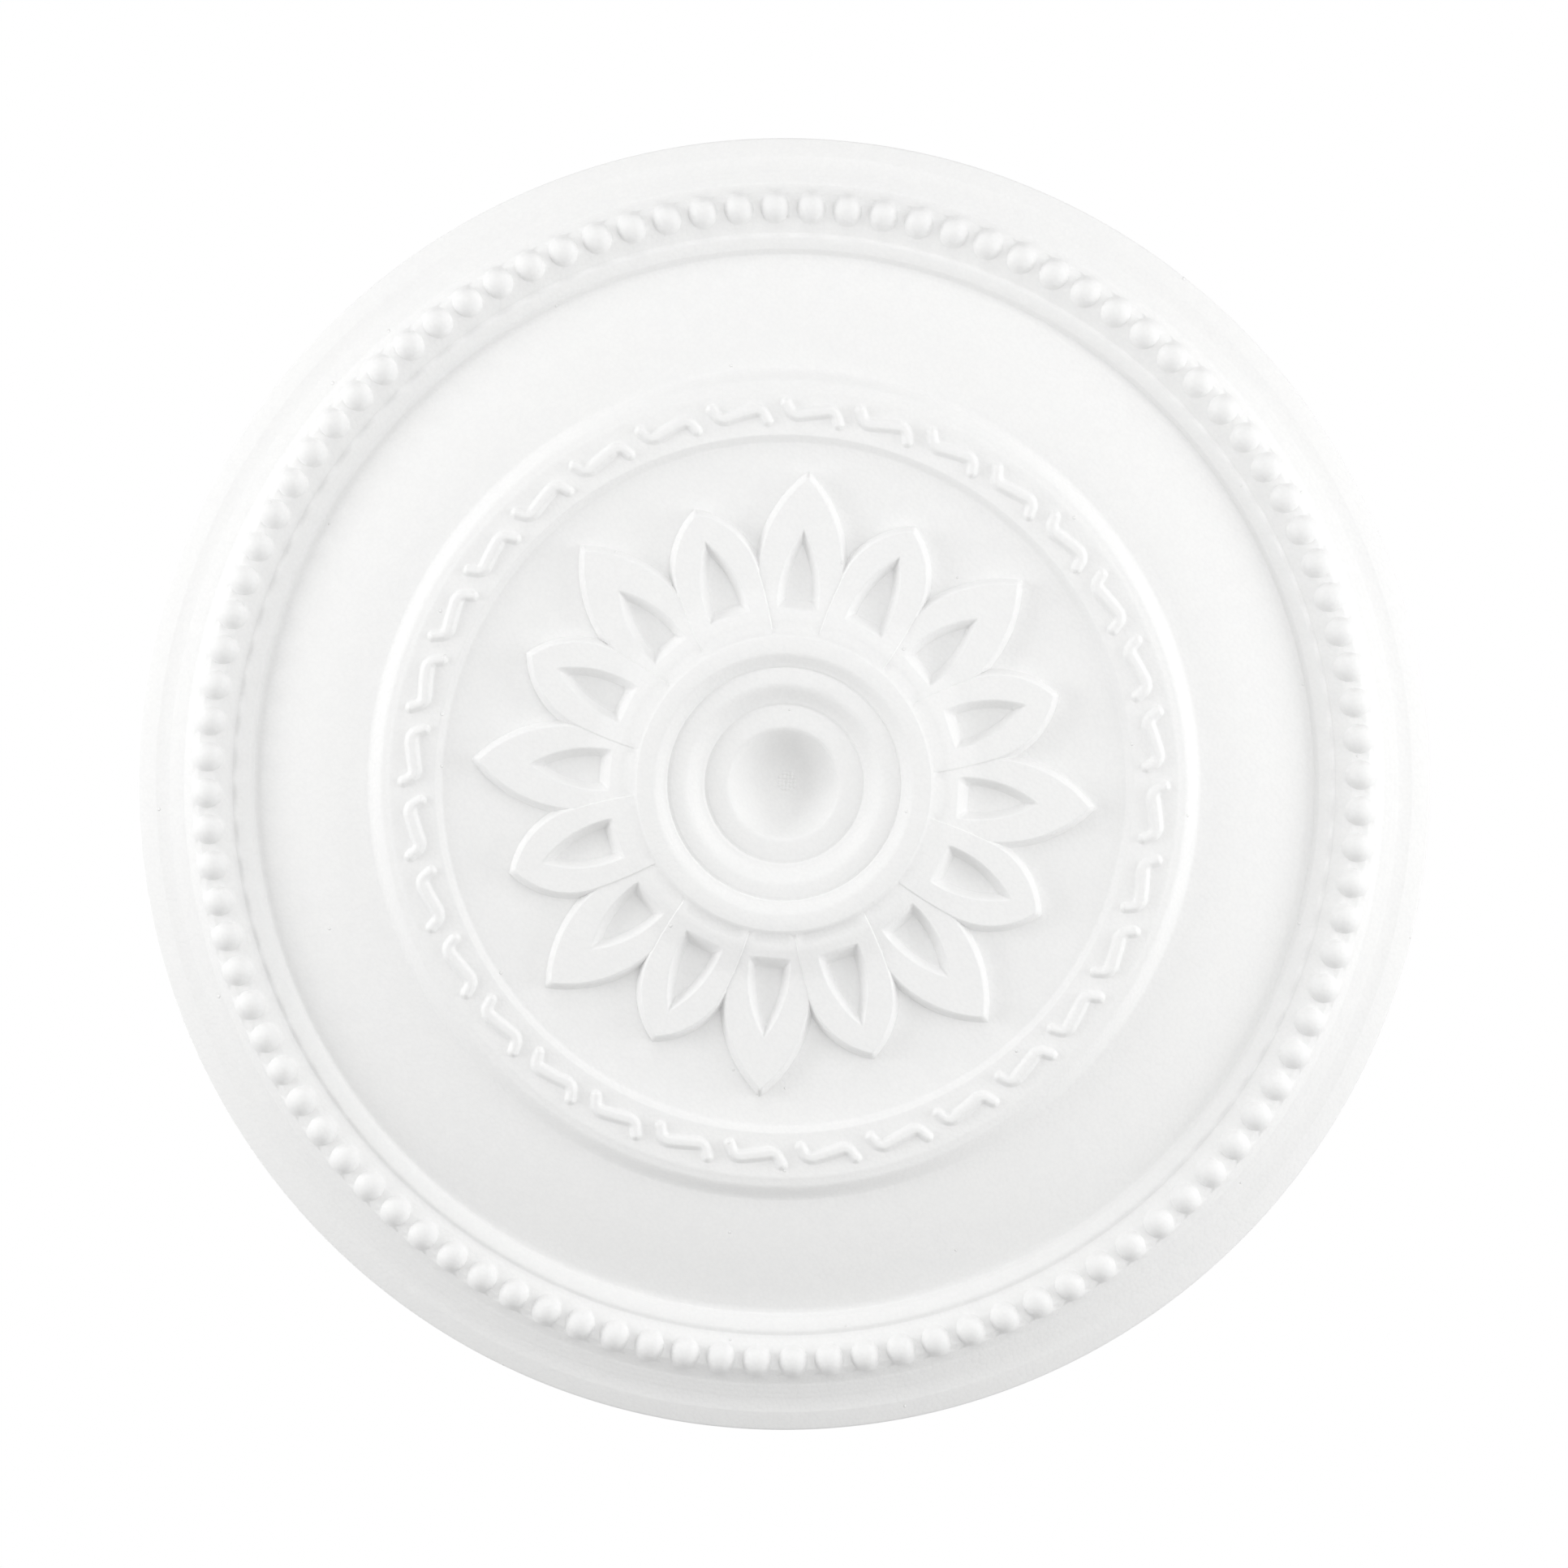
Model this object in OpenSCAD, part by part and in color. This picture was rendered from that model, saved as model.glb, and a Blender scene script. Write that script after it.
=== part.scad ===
// Ceiling rose, moulded in one piece of foam.
// It is drawn as installed: the flat back lies on the ceiling at z = 0 and the carved face looks down.
// The modules build it face up, with heights measured from the back, and the last module turns it over.

/* [Rose] */
// Outside diameter
rose_d = 500; // [470:5:620]
// Height of the outer edge above the back
edge_h = 3.5; // [2:0.5:6]
// Height of the centre ring, the highest part, above the back
rose_h = 39.5; // [38:0.1:48]

/* [Rim] */
// Width of the bevel at the outer edge
bevel_w = 7.4; // [4:0.1:12]
// Rise of the bevel
bevel_rise = 4.5; // [2:0.1:6]
// Width of the sloping land inside the bevel
land_w = 5.4; // [3:0.1:10]
// Rise of the land
land_rise = 0.8; // [0.2:0.1:2]
// Width of each of the small treads inside the land
tread_w = 1.9; // [1:0.1:4]
// Rise of each small tread
tread_rise = 0.8; // [0.3:0.1:1.2]
// Number of small treads
tread_count = 3; // [1:1:4]
// Width of the steep fall below the beads
fall_w = 6.1; // [3:0.1:10]
// Rise of the steep fall
fall_rise = 5.8; // [3:0.1:7]
// Width of the flat seat under the beads
seat_w = 6.9; // [4:0.1:12]
// Width of the sloping band inside the bead seat
shoulder_w = 4.4; // [3:0.1:10]
// Fall of that band towards the centre
shoulder_drop = 2; // [0.5:0.1:3]
// Width of the groove between the band and the shoulder
groove_w = 3.4; // [2:0.1:5]
// Depth of that groove
groove_t = 1; // [0.2:0.1:1.5]
// Width of the band between the groove and the valley
band_w = 4.5; // [3:0.1:10]
// Fall of that band towards the centre
band_drop = 2; // [0.8:0.1:3]
// Width of the small step down into the valley
valley_step_w = 1.6; // [1:0.1:4]
// Height of the small step down into the valley
valley_step_h = 3; // [1:0.1:4]

/* [Beads] */
// Diameter of a bead
bead_d = 11; // [6:0.1:12]
// Distance from bead to bead
bead_pitch = 14.1; // [13:0.1:20]
// Height of the bead centres above their seat
bead_lift = -0.4; // [-1:0.1:1]
// Angle of the first bead
bead_angle = 0.9; // [0:0.1:3.6]

/* [Medallion] */
// Radius of the foot of the medallion, where the dome begins
medallion_r = 160.3; // [158:0.1:172]
// Height of the dome at the foot of the medallion
dome_h = 24; // [22:0.5:27]
// Slope of the dome at the foot of the medallion, in degrees
dome_angle = 9; // [5:1:14]
// Width of the hollow in which the dome levels out
hollow_w = 3.5; // [3:0.1:12]
// Width of the rounded edge of the medallion
roll_w = 7.4; // [4:0.1:8]
// Height of the flat border that carries the scrolls
border_h = 31; // [30:0.5:33]
// Outer radius of the border
border_r = 150.6; // [149.5:0.1:151.5]
// Width of the border
border_w = 17.2; // [16:0.1:20]
// Drop from the border to the start of the rounded edge
border_lip = 0.8; // [0.3:0.1:1.5]
// Width of the slope from the border down to the field
border_slope_w = 2.6; // [2:0.1:8]
// Height of the field behind the petals
field_h = 28; // [27:0.5:29]
// Rise of the field from the tips of the short petals to that slope
field_rise = 0.6; // [0.2:0.1:0.9]

/* [Scrolls] */
// Radius on which the scrolls are centred
scroll_r = 142.2; // [141.5:0.1:143]
// Distance from scroll to scroll
scroll_pitch = 27.9; // [27.6:0.1:40]
// Width of a scroll's stroke
scroll_w = 5.3; // [3:0.1:5.5]
// Half the length of the straight middle of a scroll
scroll_half = 5.2; // [4:0.1:6]
// Radius of the bend at each end of a scroll
scroll_bend_r = 3.7; // [3.5:0.1:4.5]
// Angle of that bend
scroll_turn = 74; // [50:1:90]
// Length of the straight end beyond the bend
scroll_tail = 2.6; // [1:0.1:4]
// Slope of the middle of a scroll, in degrees
scroll_tilt = 11; // [0:1:20]
// Height of a scroll above the border
scroll_t = 2; // [1:0.1:4]

/* [Petals] */
// Number of petals, long and short together
petal_count = 16; // [12:2:20]
// Radius at which neighbouring petals meet
petal_root_r = 81.2; // [77:0.1:85]
// Radius of the tips of the long petals
long_tip_r = 117.5; // [111:0.5:125]
// Radius of the tips of the short petals
short_tip_r = 108.5; // [101:0.5:117]
// Height of the short petals above the field
petal_t = 5.6; // [5:0.1:7]
// Step down from the short petals to the long ones
petal_step = 0.6; // [0.2:0.1:1]
// Draft of the petal sides, as run for each unit of height
petal_draft = 0.34; // [0.1:0.01:0.5]
// Narrowing of each side of a short petal, from where the petals meet to the centre ring
petal_taper = 1.7; // [0:0.1:3]
// Angle of the first long petal
petal_angle = 85.5; // [0:0.5:90]

/* [Windows] */
// Half the width of the window sunk in each petal
window_half_w = 7.9; // [6:0.1:9]
// Radius of the tip of the windows
window_tip_r = 97; // [93:0.1:101]
// Radius at which the windows are widest
window_wide_r = 71.9; // [69:0.1:75]
// Radius of the straight foot of the windows
window_foot_r = 66.8; // [65:0.1:68]
// Depth of the windows below the short petals
window_t = 4.8; // [2:0.1:5]
// Draft of the window sides, as run for each unit of height
window_draft = 0.6; // [0.1:0.01:0.7]

/* [Centre] */
// Radius of the outside of the collar, where the slope of the petals begins
collar_r = 62.8; // [61:0.1:64]
// Width of the slope of the petals
petal_slope_w = 11.6; // [8:0.1:14]
// Width of the collar inside the petals
collar_w = 5.4; // [3:0.1:6]
// Height of the centre ring above the collar
ring_step_h = 1.1; // [0.8:0.1:4]
// Width of the step from the centre ring down to the collar
ring_step_w = 1.4; // [1:0.1:4]
// Width of the flat top of the centre ring
ring_w = 5.6; // [3:0.1:7]
// Width of the upper curved step
upper_round_w = 5.9; // [4:0.1:7]
// Height of the upper curved step
upper_round_h = 3.4; // [1.5:0.1:4]
// Width of the ledge below the upper curved step
upper_ledge_w = 5.6; // [3:0.1:8]
// Width of the lower curved step
lower_round_w = 8.6; // [6:0.1:10]
// Height of the lower curved step
lower_round_h = 5; // [2:0.1:6]
// Width of the crease at the foot of each curved step
crease_w = 1.2; // [0.5:0.1:2]
// Depth of that crease
crease_t = 0.6; // [0.2:0.1:1]
// Radius of the mouth of the dish
dish_r = 22.4; // [18:0.1:26]
// Width of the rounding at the mouth of the dish
dish_lip_w = 1.8; // [1:0.1:4]
// Depth of that rounding
dish_lip_h = 0.8; // [0.4:0.1:1.5]
// Depth of the dish
dish_t = 17; // [8:0.5:20]

/* [Hidden] */
FOAM_WHITE = "#f1f0ec";
// Steps along the curves of the section and along the ends of a scroll
ARC_STEPS = 6;
DISH_STEPS = 10;
DOME_STEPS = 10;
HOLLOW_STEPS = 3;
LIP_STEPS = 3;
WAVE_STEPS = 8;
CAP_STEPS = 6;
// Sides of a circle that is not taken as a true curve
ROUND_SIDES = 180;
BEAD_SIDES = 32;
// Part of a tread's width that slopes gently: the rest of its rise is a sharp line
TREAD_SLOPE = 0.6;
// Power of the dish's depth curve: flat in the middle, with steep sides
DISH_POWER = 2.4;
// The rounding of the dish's mouth is part of an ellipse, from this many degrees to its top
LIP_START = 140;
// Overlap of joined solids
OVERLAP = 1;

// Radii from the collar inwards, and the heights of the ledges
ring_r = collar_r - collar_w - ring_step_w;
upper_round_r = ring_r - ring_w;
upper_ledge_r = upper_round_r - upper_round_w;
lower_round_r = upper_ledge_r - upper_ledge_w;
collar_z = rose_h - ring_step_h;
upper_ledge_z = rose_h - upper_round_h;
lower_ledge_z = upper_ledge_z - lower_round_h;
dish_wall_r = dish_r - dish_lip_w;
dish_floor_z = lower_ledge_z - dish_t;

// Radii and heights from the outer edge inwards
rose_r = rose_d / 2;
land_r = rose_r - bevel_w;
tread_r = land_r - land_w;
fall_r = tread_r - tread_count * tread_w;
seat_r = fall_r - fall_w;
shoulder_r = seat_r - seat_w;
groove_r = shoulder_r - shoulder_w;
band_r = groove_r - groove_w;
valley_step_r = band_r - band_w;
valley_r = valley_step_r - valley_step_w;
bevel_z = edge_h + bevel_rise;
land_z = bevel_z + land_rise;
fall_z = land_z + tread_count * tread_rise;
seat_z = fall_z + fall_rise;
groove_z = seat_z - shoulder_drop;
band_z = groove_z - band_drop;
valley_z = band_z - valley_step_h;
bead_r = (seat_r + shoulder_r) / 2;
bead_count = round(2 * PI * bead_r / bead_pitch);

// The dome steepens evenly as far as the hollow, where it levels out again
hollow_r = valley_r - hollow_w;
dome_w = hollow_r - medallion_r;
dome_lead = tan(dome_angle);
dome_steep = (2 * (dome_h - valley_z) - dome_w * dome_lead) / (dome_w + hollow_w);
hollow_z = dome_h - dome_w * (dome_lead + dome_steep) / 2;

// The medallion's edge, its border and its petals
roll_r = medallion_r - roll_w;
roll_z = border_h - border_lip;
border_in_r = border_r - border_w;
field_r = border_in_r - border_slope_w;
petal_slope_r = collar_r + petal_slope_w;
short_z = field_h + petal_t;
long_z = short_z - petal_step;
petal_half_w = petal_root_r * tan(180 / petal_count);
scroll_count = floor(2 * PI * scroll_r / scroll_pitch);
window_z = short_z - window_t;

// Points along an ellipse about [r, z] with half axes a and b, from angle a0 to angle a1
function ellipse_arc(r, z, a, b, a0, a1, steps) =
    [for (i = [0 : steps]) let (t = a0 + (a1 - a0) * i / steps) [r + a * cos(t), z + b * sin(t)]];

// A step in a double curve that rises outwards by h over the width w, to [r, z], with a crease at its foot
function wave_step(r, z, w, h) = concat(
    [[r - w - crease_w, z - h], [r - w, z - h - crease_t]],
    [for (i = [1 : WAVE_STEPS]) let (t = i / WAVE_STEPS) [r - w * (1 - t), z - h * (1 + cos(180 * t)) / 2]]
);

function dish_line() = concat(
    [for (i = [0 : DISH_STEPS]) let (t = i / DISH_STEPS)
        [dish_wall_r * t, dish_floor_z + (dish_t - dish_lip_h) * pow(t, DISH_POWER)]],
    ellipse_arc(dish_r, lower_ledge_z - 2 * dish_lip_h, dish_lip_w, 2 * dish_lip_h,
        LIP_START, 90, LIP_STEPS)
);

function centre_line() = concat(
    dish_line(),
    wave_step(lower_round_r, upper_ledge_z, lower_round_w, lower_round_h),
    wave_step(upper_round_r, rose_h, upper_round_w, upper_round_h),
    [[ring_r, rose_h], [ring_r + ring_step_w, collar_z], [collar_r, collar_z]]
);

function medallion_line() = concat(
    [[petal_slope_r, long_z], [petal_root_r, long_z], [petal_root_r, field_h]],
    [[short_tip_r, field_h], [field_r, field_h + field_rise], [border_in_r, border_h], [border_r, border_h]],
    [for (i = [0 : ARC_STEPS]) let (t = i / ARC_STEPS)
        [roll_r + roll_w * t, dome_h + (roll_z - dome_h) * (1 + cos(180 * t)) / 2]]
);

function dome_line() = concat(
    [for (i = [1 : DOME_STEPS]) let (t = i / DOME_STEPS) [medallion_r + dome_w * t,
        dome_h - dome_w * (dome_lead * t + (dome_steep - dome_lead) * t * t / 2)]],
    [for (i = [1 : HOLLOW_STEPS]) let (t = i / HOLLOW_STEPS) [hollow_r + hollow_w * t,
        hollow_z - hollow_w * dome_steep * (t - t * t / 2)]]
);

function rim_line() = concat(
    [[valley_step_r, band_z], [band_r, groove_z]],
    [[(band_r + groove_r) / 2, groove_z - groove_t], [groove_r, groove_z]],
    [[shoulder_r, seat_z], [seat_r, seat_z], [fall_r, fall_z]],
    [for (i = [1 : tread_count]) each [
        [fall_r + i * tread_w, fall_z - (i - 1 + TREAD_SLOPE) * tread_rise],
        [fall_r + i * tread_w, fall_z - i * tread_rise]]],
    [[land_r, bevel_z], [rose_r, edge_h], [rose_r, 0]]
);

// Everything that is round: half its section, from the axis out over the face and back
module turned_body() {
    rotate_extrude($fn = ROUND_SIDES)
        polygon(concat([[0, 0]], centre_line(),
            medallion_line(), dome_line(), rim_line()));
}

module beads() {
    for (i = [0 : bead_count - 1])
        rotate([0, 0, bead_angle + 360 * i / bead_count])
            translate([bead_r, 0, seat_z + bead_lift])
                sphere(d = bead_d, $fn = BEAD_SIDES);
}

// A pointed arch, as the space shared by two cones. Its half width is half_w at radius wide_r and
// height z_ref, and its tip is at tip_r there. draft makes it wider upwards, or downwards if negative.
module pointed_arch(half_w, wide_r, tip_r, z_ref, z_low, z_high, draft) {
    rise = tip_r - wide_r;
    arc_r = (half_w * half_w + rise * rise) / (2 * half_w);
    intersection_for (side = [-1, 1])
        translate([side * (arc_r - half_w), wide_r, z_low])
            cylinder(h = z_high - z_low, r1 = arc_r + (z_low - z_ref) * draft,
                r2 = arc_r + (z_high - z_ref) * draft, $fn = ROUND_SIDES);
}

// The part of a petal outside the radius at which it meets its neighbours
module petal_blade(tip_r, top_z) {
    intersection() {
        pointed_arch(petal_half_w, petal_root_r, tip_r, top_z, field_h - OVERLAP, top_z, -petal_draft);
        translate([-petal_root_r, petal_root_r - OVERLAP, 0])
            cube([2 * petal_root_r, tip_r, top_z]);
    }
}

// The part of a short petal inside that radius: it narrows inwards and follows the slope to the collar
module petal_foot() {
    foot_half_w = petal_half_w - petal_taper;
    intersection() {
        linear_extrude(height = rose_h)
            polygon([[-petal_half_w, petal_root_r], [-foot_half_w, ring_r + ring_step_w],
                [foot_half_w, ring_r + ring_step_w], [petal_half_w, petal_root_r]]);
        rotate_extrude($fn = ROUND_SIDES)
            polygon([[collar_r - collar_w, field_h], [collar_r - collar_w, collar_z], [collar_r, collar_z],
                [petal_slope_r, short_z], [2 * petal_root_r, short_z], [2 * petal_root_r, field_h]]);
    }
}

// What is cut out of a petal: a pointed arch with sloping sides and a sloping straight foot
module window() {
    top_z = collar_z + OVERLAP;
    foot_run = (top_z - window_z) * window_draft;
    intersection() {
        pointed_arch(window_half_w, window_wide_r, window_tip_r, short_z, window_z, top_z, window_draft);
        rotate([90, 0, 90])
            linear_extrude(height = 2 * petal_half_w, center = true)
                polygon([[window_foot_r + foot_run, window_z], [window_foot_r, top_z],
                    [window_tip_r + foot_run, top_z], [window_tip_r + foot_run, window_z]]);
    }
}

module petals() {
    for (i = [0 : petal_count - 1]) {
        is_long = i % 2 == 0;
        rotate([0, 0, petal_angle - 90 + 360 * i / petal_count]) {
            petal_blade(is_long ? long_tip_r : short_tip_r, is_long ? long_z : short_z);
            if (!is_long) petal_foot();
        }
    }
}

module windows() {
    for (i = [0 : petal_count - 1])
        rotate([0, 0, petal_angle - 90 + 360 * i / petal_count])
            window();
}

// Half of a scroll's centre line, from its middle to one end, as [x, y, heading]
function scroll_path() = let (
        h0 = 180 + scroll_tilt,
        bend = scroll_half * [cos(h0), sin(h0)] + scroll_bend_r * [cos(h0 - 90), sin(h0 - 90)],
        h1 = h0 - scroll_turn,
        tail = bend + scroll_bend_r * [cos(h1 + 90), sin(h1 + 90)] + scroll_tail * [cos(h1), sin(h1)]
    ) concat(
        [[0, 0, h0]],
        [for (i = [0 : ARC_STEPS]) let (h = h0 - scroll_turn * i / ARC_STEPS)
            [bend.x + scroll_bend_r * cos(h + 90), bend.y + scroll_bend_r * sin(h + 90), h]],
        [[tail.x, tail.y, h1]]
    );

function beside(p, angle) = [p.x + scroll_w / 2 * cos(p.z + angle), p.y + scroll_w / 2 * sin(p.z + angle)];

// Half of a scroll's outline: out along one side, round the end and back along the other
function scroll_side() = let (path = scroll_path(), last = len(path) - 1) concat(
        [for (i = [0 : last]) beside(path[i], -90)],
        [for (i = [1 : CAP_STEPS - 1]) beside(path[last], -90 + 180 * i / CAP_STEPS)],
        [for (i = [last : -1 : 1]) beside(path[i], 90)]
    );

// A point given along and across the band, bent round to the band's radius
function bent(p) = let (a = p.x / scroll_r * 180 / PI) (scroll_r + p.y) * [sin(a), cos(a)];

module scrolls() {
    outline = [for (turn = [1, -1]) each [for (p = scroll_side()) bent(turn * p)]];
    for (i = [0 : scroll_count - 1])
        rotate([0, 0, petal_angle - 90 + 360 * i / scroll_count])
            translate([0, 0, border_h - OVERLAP])
                linear_extrude(height = scroll_t + OVERLAP)
                    polygon(outline);
}

module ceiling_rose() {
    color(FOAM_WHITE)
        rotate([180, 0, 0])
            difference() {
                union() {
                    turned_body();
                    beads();
                    petals();
                    scrolls();
                }
                windows();
            }
}

ceiling_rose();
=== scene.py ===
"""Ceiling rose of moulded foam, seen from below.

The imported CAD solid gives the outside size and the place. One fine mesh stands for it: the turned
profile, the beads, the scrolls and the petals are one height above the back at each spot of the
face, and the mesh follows their outlines. Lengths are in millimetres in a plan seen from below, with
+Y through the first long petal. The last step turns the plan over into the frame and to metres.
"""
import math

import bmesh
import bpy
import numpy as np
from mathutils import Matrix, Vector
from mathutils.geometry import delaunay_2d_cdt


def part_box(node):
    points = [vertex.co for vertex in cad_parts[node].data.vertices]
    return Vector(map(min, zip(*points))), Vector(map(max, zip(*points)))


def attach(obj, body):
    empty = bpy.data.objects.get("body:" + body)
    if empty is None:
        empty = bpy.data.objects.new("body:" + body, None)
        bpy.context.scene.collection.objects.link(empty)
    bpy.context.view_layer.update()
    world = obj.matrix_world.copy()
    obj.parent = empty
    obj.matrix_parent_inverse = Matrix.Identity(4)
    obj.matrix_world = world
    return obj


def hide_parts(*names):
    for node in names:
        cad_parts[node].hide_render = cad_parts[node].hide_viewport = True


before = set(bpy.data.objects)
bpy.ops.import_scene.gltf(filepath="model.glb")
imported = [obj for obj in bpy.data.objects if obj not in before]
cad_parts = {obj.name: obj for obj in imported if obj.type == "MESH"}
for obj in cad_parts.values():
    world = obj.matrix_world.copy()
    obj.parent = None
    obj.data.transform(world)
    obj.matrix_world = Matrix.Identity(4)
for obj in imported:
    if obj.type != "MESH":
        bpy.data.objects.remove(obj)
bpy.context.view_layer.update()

# ---------------------------------------------------------------- sizes

NODE = "ceiling_rose"
LOW, HIGH = (np.array(corner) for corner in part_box(NODE))
ROSE_R = 250.0
MM = (HIGH[0] - LOW[0]) / (2 * ROSE_R)  # one millimetre of the plan, in metres
ROSE_H = (HIGH[2] - LOW[2]) / MM

PETAL_ANGLE = 85.5                      # of the first long petal, from the right, seen from below
PETALS = 16
SCROLLS = 32
BEADS = 100

# radii and heights of the turned profile
EDGE_Z = 3.5
LAND_R, LAND_Z = 242.6, 8.0
TREAD_R, TREAD_Z = 237.2, 8.8
TREAD_W, TREAD_RISE, TREADS = 1.9, 0.8, 3
FALL_R, FALL_Z = TREAD_R - TREADS * TREAD_W, TREAD_Z + TREADS * TREAD_RISE
SEAT_R, SEAT_W, SEAT_Z = 225.4, 6.9, FALL_Z + 5.8
SHOULDER_R = SEAT_R - SEAT_W
GROOVE_R, GROOVE_Z, GROOVE_W, GROOVE_T = 214.1, SEAT_Z - 2.0, 3.4, 1.0
BAND_R = GROOVE_R - GROOVE_W
VALLEY_STEP_R, BAND_Z = 206.2, SEAT_Z - 4.0
VALLEY_R, VALLEY_Z = 204.6, SEAT_Z - 7.0
HOLLOW_W = 3.5
MEDALLION_R, DOME_Z, DOME_LEAD = 160.3, 24.0, math.tan(math.radians(9))
ROLL_W = 7.4
BORDER_R, BORDER_W, BORDER_Z = 150.6, 17.2, 31.0
BORDER_LIP = 0.8
BORDER_IN_R = BORDER_R - BORDER_W
FIELD_R, FIELD_Z, FIELD_RISE = BORDER_IN_R - 2.6, 28.0, 0.6
COLLAR_R, COLLAR_Z = 62.8, ROSE_H - 1.1
RING_R, RING_W, RING_STEP_W = 56.0, 5.6, 1.4
UPPER_ROUND_W, UPPER_ROUND_H, UPPER_LEDGE_W = 5.9, 3.4, 5.6
LOWER_ROUND_W, LOWER_ROUND_H = 8.6, 5.0
CREASE_W, CREASE_T = 1.2, 0.6
DISH_R, DISH_LIP_W, DISH_LIP_H, DISH_T = 22.4, 1.8, 0.8, 17.0
DISH_POWER = 2.4

# beads
BEAD_D = 10.8
BEAD_R = SEAT_R - SEAT_W / 2
BEAD_Z = SEAT_Z - 0.4
BEAD_ANGLE = 1.8

# petals and their windows
ROOT_R = 81.2
PETAL_HALF_W = ROOT_R * math.tan(math.pi / PETALS)
LONG_TIP_R, SHORT_TIP_R = 117.5, 108.5
PETAL_T, PETAL_STEP, PETAL_RUN = 5.6, 0.6, 1.9
SLOPE_R = COLLAR_R + 11.6
FOOT_BEND_R = 152.0                     # the sides of a short petal bend gently inside ROOT_R
WINDOW_HALF_W, WINDOW_TIP_R, WINDOW_WIDE_R, WINDOW_FOOT_R = 7.9, 97.0, 71.9, 66.8
WINDOW_T, WINDOW_RUN, WINDOW_FOOT_RUN = 4.8, 2.8, 3.7
# half widths over which the edges of their sloping walls are rounded
PETAL_FOOT_ROUND, PETAL_TOP_ROUND = 0.2, 0.8
WINDOW_FLOOR_ROUND, WINDOW_TOP_ROUND = 0.2, 0.6

# scrolls
SCROLL_R = 142.2
SCROLL_HALF, SCROLL_BEND_R, SCROLL_TURN, SCROLL_TAIL = 5.2, 3.7, 74.0, 2.6
SCROLL_TILT = 11.0
SCROLL_MID_W, SCROLL_END_W, SCROLL_T, SCROLL_RUN = 5.5, 4.6, 2.0, 1.5

# ---------------------------------------------------------------- profile


def soft_ramp(x, w):
    """0 below -w and x above w, with a parabola between: a corner rounded over the half width w."""
    return np.where(x <= -w, 0.0, np.where(x >= w, x, (x + w) ** 2 / (4 * w)))


def soft_max(a, b, w):
    return b + soft_ramp(a - b, w)


def soft_min(a, b, w):
    return b - soft_ramp(b - a, w)


def ellipse_arc(r, z, a, b, start, stop, steps):
    """Points along an ellipse about (r, z) with half axes a and b, between two angles."""
    t = np.radians(np.linspace(start, stop, steps + 1))
    return [(r + a * math.cos(i), z + b * math.sin(i), None) for i in t]


def wave_step(r, z, w, h):
    """A double curve that rises outwards by h over the width w, to (r, z), with a creased foot."""
    line = [(r - w * (1 - t), z - h * (1 + math.cos(math.pi * t)) / 2, None)
            for t in np.linspace(0, 1, 13)]
    crease = [(r - w - CREASE_W, z - h, 0.5), (r - w, z - h - CREASE_T, 0.15)]
    return crease + line[1:-1] + [(r, z, 0.4)]


def centre_corners():
    upper_r = RING_R - RING_W
    ledge_r = upper_r - UPPER_ROUND_W
    lower_r = ledge_r - UPPER_LEDGE_W
    ledge_z = ROSE_H - UPPER_ROUND_H
    low_z = ledge_z - LOWER_ROUND_H
    wall_r, wall_h = DISH_R - DISH_LIP_W, DISH_T - DISH_LIP_H
    dish = [(wall_r * t, low_z - DISH_T + wall_h * t ** DISH_POWER, None)
            for t in np.linspace(0, 1, 14)]
    lip = ellipse_arc(DISH_R, low_z - 2 * DISH_LIP_H, DISH_LIP_W, 2 * DISH_LIP_H, 140, 90, 5)
    return (dish + lip + wave_step(lower_r, ledge_z, LOWER_ROUND_W, LOWER_ROUND_H)
            + wave_step(upper_r, ROSE_H, UPPER_ROUND_W, UPPER_ROUND_H)
            + [(RING_R, ROSE_H, 0.35)])


def field_corners():
    """The step down from the ring, which runs on under the collar and the petals, and the field."""
    hidden_r = RING_R + RING_STEP_W * (ROSE_H - FIELD_Z) / (ROSE_H - COLLAR_Z)
    return [(hidden_r, FIELD_Z, 0.5), (SHORT_TIP_R + 4, FIELD_Z, 6.0),
            (FIELD_R, FIELD_Z + FIELD_RISE, 0.7), (BORDER_IN_R, BORDER_Z, 0.5)]


def medallion_corners():
    roll_r = MEDALLION_R - ROLL_W
    roll_z = BORDER_Z - BORDER_LIP
    corners = [(BORDER_R, BORDER_Z, 0.5)]
    for t in np.linspace(0, 1, 11):
        z = DOME_Z + (roll_z - DOME_Z) * (1 + math.cos(math.pi * t)) / 2
        corners.append((roll_r + ROLL_W * t, z, None))
    return corners


def dome_corners():
    hollow_r = VALLEY_R - HOLLOW_W
    width = hollow_r - MEDALLION_R
    steep = (2 * (DOME_Z - VALLEY_Z) - width * DOME_LEAD) / (width + HOLLOW_W)
    corners = []
    for t in np.linspace(0, 1, 17)[1:]:
        fall = width * (DOME_LEAD * t + (steep - DOME_LEAD) * t * t / 2)
        corners.append((MEDALLION_R + width * t, DOME_Z - fall, None))
    hollow_z = corners[-1][1]
    for t in np.linspace(0, 1, 6)[1:]:
        z = hollow_z - HOLLOW_W * steep * (t - t * t / 2)
        corners.append((hollow_r + HOLLOW_W * t, z, None))
    return corners


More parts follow.
